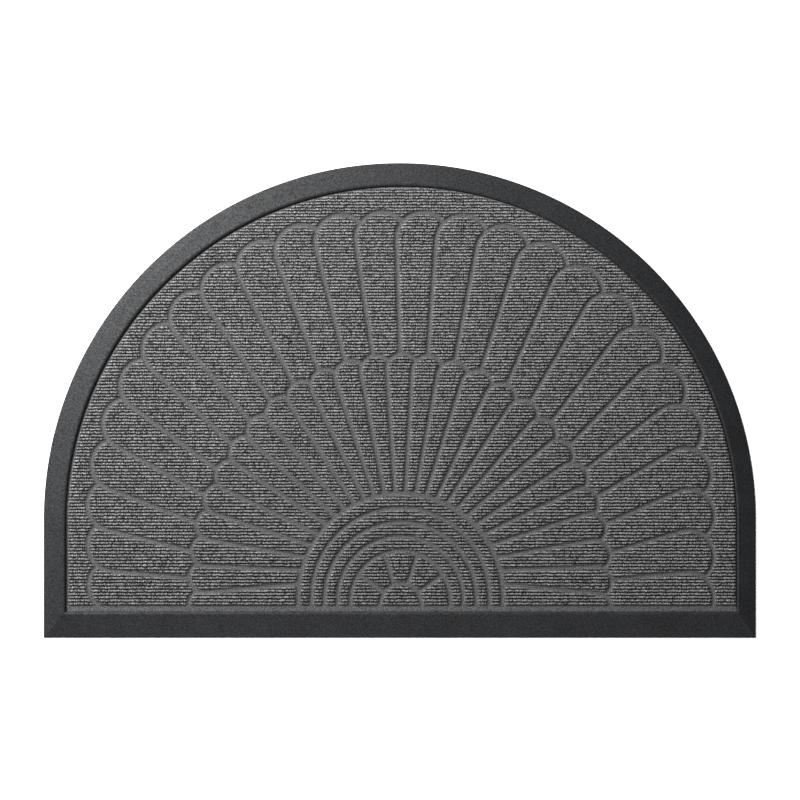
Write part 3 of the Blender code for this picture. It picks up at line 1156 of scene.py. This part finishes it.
@dataclass
class PressedCarpet:
    """The carpet: its fine ribbed and pressed surface, divided along the grooves, and cut flat below."""

    outline: Arch = Arch(3.1 * MM, -153.3 * MM, 422.6 * MM)
    bottom: float = -266.9 * MM
    column: float = 1.45 * MM
    underside: float = 2.3 * MM
    groove_height: float = 2.8 * MM
    valley_height: float = 4.6 * MM
    ridge_height: float = 6.0 * MM
    wall_start: float = 1.1 * MM
    wall_run: float = 3.8 * MM
    rib_start: float = 1.0 * MM
    rib_run: float = 3.6 * MM
    left_fade: float = 0.12
    fuzz: float = 0.12 * MM
    fuzz_seed: int = 41
    least_thickness: float = 0.15 * MM
    cut_edge: float = 0.5 * MM
    straight_edge: float = 3.0 * MM
    strip_fall: float = 0.3 * MM
    rim_drops: tuple[float, ...] = (2.2 * MM, 2.0 * MM, 0.4 * MM)
    rim_runs: tuple[float, ...] = (6.0 * MM, 5.5 * MM, 1.5 * MM)
    seam_divider: int = 4
    seam_ring: float = 129.3 * MM
    seam_probe: float = 0.05 * MM
    seam_step: float = 1.2 * MM
    seam_rounds: int = 2
    least_slope: float = 0.25
    crease_angle: float = 80.0
    pattern: ShellPattern = field(default_factory=ShellPattern)
    ribbing: Ribbing = field(default_factory=Ribbing)
    finish: PileFinish = field(default_factory=PileFinish)

    def edge_depth(self, x: np.ndarray, y: np.ndarray) -> np.ndarray:
        """Distance of points inside the carpet's cut edge."""
        return np.minimum(self.outline.radius - self.outline.spread(x, y), y - self.bottom)

    def margin_depth(self, x: np.ndarray, y: np.ndarray) -> np.ndarray:
        """Find how deep points lie in the plain margin.

        Args:
            x: X of the points.
            y: Y of the points.

        Returns:
            Their distance from the margin's grooves and from its cut edge.
        """
        pattern = self.pattern
        past = pattern.outer_row.past_ends(x, y)
        rim = self.outline.radius - self.outline.spread(x, y) + pattern.groove_width / 2 - self.cut_edge
        return smooth_least([past, rim, pattern.bottom_side().inside(x, y)], pattern.margin_rounding)

    def fields(self, x: np.ndarray, y: np.ndarray) -> tuple[np.ndarray, np.ndarray]:
        """Find the field each point lies in.

        Args:
            x: X of the points.
            y: Y of the points.

        Returns:
            The points' distance from the middle of the nearest groove, and their field's tone.
        """
        pattern = self.pattern
        depth = self.margin_depth(x, y)
        tone = np.ones(x.shape)
        fields = pattern.outer_petals() + pattern.inner_petals()
        fields += pattern.ring_fields() + pattern.fan_fields()
        for raised in fields:
            inside = raised.inside(x, y)
            tone = np.where(inside > depth, raised.tone, tone)
            depth = np.maximum(depth, inside)
        return depth, tone

    def seam(self, number: int) -> StraightSide:
        """The seam along a divider between outer petals, with the petals on its left inside it."""
        divider = self.pattern.outer_side(number)
        return StraightSide(divider.foot, (-divider.way[1], divider.way[0]))

    def zone_sides(self) -> dict[Zone, list[Line]]:
        """Describe the zones by their sides.

        Returns:
            For each zone, in order, the functions that are positive inside it.
        """
        pattern = self.pattern
        ring = Arch(pattern.outer_ring.x, pattern.outer_ring.y, self.seam_ring)
        return {
            Zone.RINGS: [ArchSide(ring, True).inside],
            Zone.INNER: [lambda x, y: -pattern.inner_row.past_ends(x, y)],
            Zone.LEFT: [self.seam(-self.seam_divider).inside],
            Zone.CROWN: [self.seam(self.seam_divider).inside],
            Zone.RIGHT: [],
        }

    def grid(self) -> tuple[np.ndarray, np.ndarray, np.ndarray, np.ndarray]:
        """Lay out the surface's points, with the ribs' wander.

        Returns:
            The points' X and Y, their column numbers, and their counts of ribs from the bottom.
        """
        left, right = self.outline.x - self.outline.radius, self.outline.x + self.outline.radius
        columns = round((right - left) / self.column)
        row_y, row_ribs = self.ribbing.row_heights(self.bottom, self.outline.y + self.outline.radius)
        x, y = np.meshgrid(np.linspace(left, right, columns + 1), row_y)
        column, ribs = np.meshgrid(np.arange(columns + 1.0), row_ribs)
        free = smooth_step(self.edge_depth(x, y), 0.0, self.straight_edge)
        return x, y + self.ribbing.shift(column, ribs) * free, column, ribs

    def rim_fall(self, x: np.ndarray, y: np.ndarray) -> np.ndarray:
        """Find how far the surface falls towards the arc's cut edge, least on the right.

        Args:
            x: X of the points.
            y: Y of the points.

        Returns:
            The fall at each point.
        """
        depth = self.outline.radius - self.outline.spread(x, y)
        left, right = self.outline.x - self.outline.radius, self.outline.x + self.outline.radius
        places = [left, self.outline.x, right]
        drop = np.interp(x, places, self.rim_drops)
        run = np.interp(x, places, self.rim_runs)
        return drop * (1.0 - smooth_step(depth, 0.0, run))

    def relief(
        self, x: np.ndarray, y: np.ndarray, column: np.ndarray, ribs: np.ndarray
    ) -> tuple[np.ndarray, dict[Trait, np.ndarray]]:
        """Raise the pile between the grooves.

        Args:
            x: X of the points.
            y: Y of the points.
            column: Their column numbers.
            ribs: Their counts of ribs from the bottom.

        Returns:
            The points' heights, and the values that the finish reads at them.
        """
        depth, tone = self.fields(x, y)
        wall = smooth_step(depth, self.wall_start, self.wall_run)
        standing = smooth_step(depth, self.rib_start, self.rib_run)
        rib = self.ribbing.height(column, ribs)
        rib = rib * (1.0 - self.left_fade * smooth_step(-x, 0.0, self.outline.radius))
        z = self.groove_height + (self.valley_height - self.groove_height) * wall
        z = z + (self.ridge_height - self.valley_height) * rib * standing
        z = z + self.fuzz * lattice_noise(column, ribs * self.ribbing.rows_per_rib, self.fuzz_seed)
        z = z - self.rim_fall(x, y)
        z = z - np.interp(y, [self.bottom, self.pattern.field_bottom], [self.strip_fall, 0.0])
        z = np.maximum(z, self.underside + self.least_thickness)
        # The rib height also sets the painted shade between the ribs.
        return z, {Trait.RIB: rib, Trait.PRESSED: 1.0 - standing, Trait.TONE: tone}

    def build(self) -> list[bpy.types.Object]:
        """Model the whole surface on one grid, divide it into pieces, and close and dress each.

        Returns:
            The pieces.
        """
        x, y, column, ribs = self.grid()
        zone, x, y = self.cut(x, y)
        z, traits = self.relief(x, y, column, ribs)
        rows, columns = x.shape
        whole = add_grid("carpet", columns - 1, rows - 1)
        place_points(whole, x, y, z)
        for trait, values in traits.items():
            attribute = whole.data.attributes.new(trait.value, "FLOAT", "POINT")
            attribute.data.foreach_set("value", values.astype(np.float32).ravel())
        return self.divide(whole, zone)

    def cut(self, x: np.ndarray, y: np.ndarray) -> tuple[np.ndarray, np.ndarray, np.ndarray]:
        """Choose each cell's zone and draw the cells' corners onto the cut edge and the seams.

        Args:
            x: The grid's X, row by row.
            y: The grid's Y.

        Returns:
            Each cell's zone number, -1 outside the carpet, and the corners' new X and Y.
        """
        middle_x = (x[:-1, :-1] + x[1:, 1:] + x[:-1, 1:] + x[1:, :-1]) / 4
        middle_y = (y[:-1, :-1] + y[1:, 1:] + y[:-1, 1:] + y[1:, :-1]) / 4
        zones = list(enumerate(self.zone_sides().values()))
        zone = np.full(middle_x.shape, len(zones) - 1)
        for number, sides in reversed(zones):
            if sides:
                inside = np.logical_and.reduce([side(middle_x, middle_y) > 0 for side in sides])
                zone[inside] = number
        zone[self.edge_depth(middle_x, middle_y) <= 0] = -1
        x, y = x.copy(), y.copy()
        for number, sides in reversed(zones):
            for side in sides:
                self.draw_onto(side, zone == number, zone > number, x, y)
        self.draw_onto(self.edge_depth, zone >= 0, zone < 0, x, y)
        return zone, x, y

    def draw_onto(
        self, side: Line, within: np.ndarray, beyond: np.ndarray, x: np.ndarray, y: np.ndarray
    ) -> None:
        """Move the corners shared by two groups of cells onto the line where a function is 0.

        Args:
            side: The function of X and Y.
            within: Which cells lie on one side of the line.
            beyond: Which cells lie on the other side.
            x: The grid's X, changed in place.
            y: The grid's Y, changed in place.
        """
        touch = []
        for cells in (within, beyond):
            corners = np.zeros(x.shape, dtype=bool)
            for rows in (slice(None, -1), slice(1, None)):
                for columns in (slice(None, -1), slice(1, None)):
                    corners[rows, columns] |= cells
            touch.append(corners)
        shared = touch[0] & touch[1]
        probe = self.seam_probe
        for _ in range(self.seam_rounds):
            there_x, there_y = x[shared], y[shared]
            value = side(there_x, there_y)
            slope_x = (side(there_x + probe, there_y) - side(there_x - probe, there_y)) / (2 * probe)
            slope_y = (side(there_x, there_y + probe) - side(there_x, there_y - probe)) / (2 * probe)
            size = np.maximum(slope_x**2 + slope_y**2, self.least_slope)
            step = np.clip(value, -self.seam_step, self.seam_step) / size
            x[shared] = there_x - step * slope_x
            y[shared] = there_y - step * slope_y

    def divide(
        self, whole: bpy.types.Object, zone: np.ndarray
    ) -> list[bpy.types.Object]:
        """Part the surface into its zones, close each below, and dress it.

        Args:
            whole: The grid with its relief.
            zone: Each cell's zone number.

        Returns:
            The finished pieces.
        """
        zones = list(self.zone_sides())
        whole.data.polygons.foreach_set("material_index", np.maximum(zone, 0).ravel())
        for kind in zones:
            whole.data.materials.append(bpy.data.materials.new(kind.value))
        select_faces(whole, (zone < 0).ravel())
        edit(whole, "FACE")
        bpy.ops.mesh.delete(type="FACE")
        bpy.ops.mesh.select_all(action="SELECT")
        bpy.ops.mesh.separate(type="MATERIAL")
        finish_edit()
        material = self.finish.material()
        pieces = [item for item in bpy.context.scene.objects if item.name.startswith("carpet")]
        for piece in pieces:
            kind = Zone(piece.data.materials[0].name)
            piece.name = kind.value
            piece.data.name = kind.value
            close_below(piece, self.underside)
            shade(piece, self.crease_angle)
            dress(piece, material, CARPET_NODE)
        return pieces


# The studio


@dataclass(frozen=True)
class Softbox:
    """A square soft light that looks at the middle of the mat; angles in degrees."""

    name: str
    azimuth: float
    elevation: float
    distance: float
    size: float
    power: float

    def hang(self) -> None:
        """Add the light."""
        azimuth, elevation = math.radians(self.azimuth), math.radians(self.elevation)
        way = (
            math.cos(azimuth) * math.cos(elevation),
            math.sin(azimuth) * math.cos(elevation),
            math.sin(elevation),
        )
        data = bpy.data.lights.new(self.name, "AREA")
        data.shape = "SQUARE"
        data.size = self.size
        data.energy = self.power
        light = bpy.data.objects.new(self.name, data)
        light.location = [self.distance * part for part in way]
        light.rotation_euler = light.location.to_track_quat("Z", "Y").to_euler()
        bpy.context.scene.collection.objects.link(light)


@dataclass
class Studio:
    """White floor, one low soft light from the upper left, a fill, and the camera overhead."""

    view_width: float = 1011.7 * MM
    view_x: float = 0.4 * MM
    view_y: float = 0.4 * MM
    lens: float = 100.0
    sensor: float = 36.0
    key: Softbox = Softbox("key", azimuth=137.0, elevation=38.0, distance=2.1, size=0.85, power=124.0)
    fill: Softbox = Softbox("fill", azimuth=268.0, elevation=38.0, distance=2.1, size=0.85, power=13.0)
    sky: float = 0.14
    floor_size: float = 12.0
    floor_drop: float = 0.05 * MM
    far_clip: float = 20.0

    def build(self) -> None:
        """Make the floor, the lights and the camera."""
        self.floor()
        self.key.hang()
        self.fill.hang()
        self.surroundings()
        self.camera()

    def floor(self) -> None:
        """Lay the floor just under the mat."""
        bpy.ops.object.select_all(action="DESELECT")
        bpy.ops.mesh.primitive_plane_add(size=self.floor_size, location=(0.0, 0.0, -self.floor_drop))
        floor = bpy.context.object
        floor.name = "studio_floor"
        floor.data.materials.append(FloorFinish().material())

    def surroundings(self) -> None:
        """Light the room evenly."""
        world = bpy.data.worlds.new("studio")
        world.use_nodes = True
        background = world.node_tree.nodes["Background"]
        background.inputs["Color"].default_value = (1.0, 1.0, 1.0, 1.0)
        background.inputs["Strength"].default_value = self.sky
        bpy.context.scene.world = world

    def camera(self) -> None:
        """Hang the camera straight above the mat."""
        data = bpy.data.cameras.new("overhead")
        data.lens = self.lens
        data.sensor_width = self.sensor
        data.clip_end = self.far_clip
        camera = bpy.data.objects.new("overhead", data)
        camera.location = (self.view_x, self.view_y, self.view_width * self.lens / self.sensor)
        bpy.context.scene.collection.objects.link(camera)
        bpy.context.scene.camera = camera
        bpy.context.scene.view_settings.view_transform = "Standard"


def main() -> None:
    """Build the mat and its studio."""
    RubberTray().build()
    PressedCarpet().build()
    Studio().build()


if __name__ == "__main__":
    main()
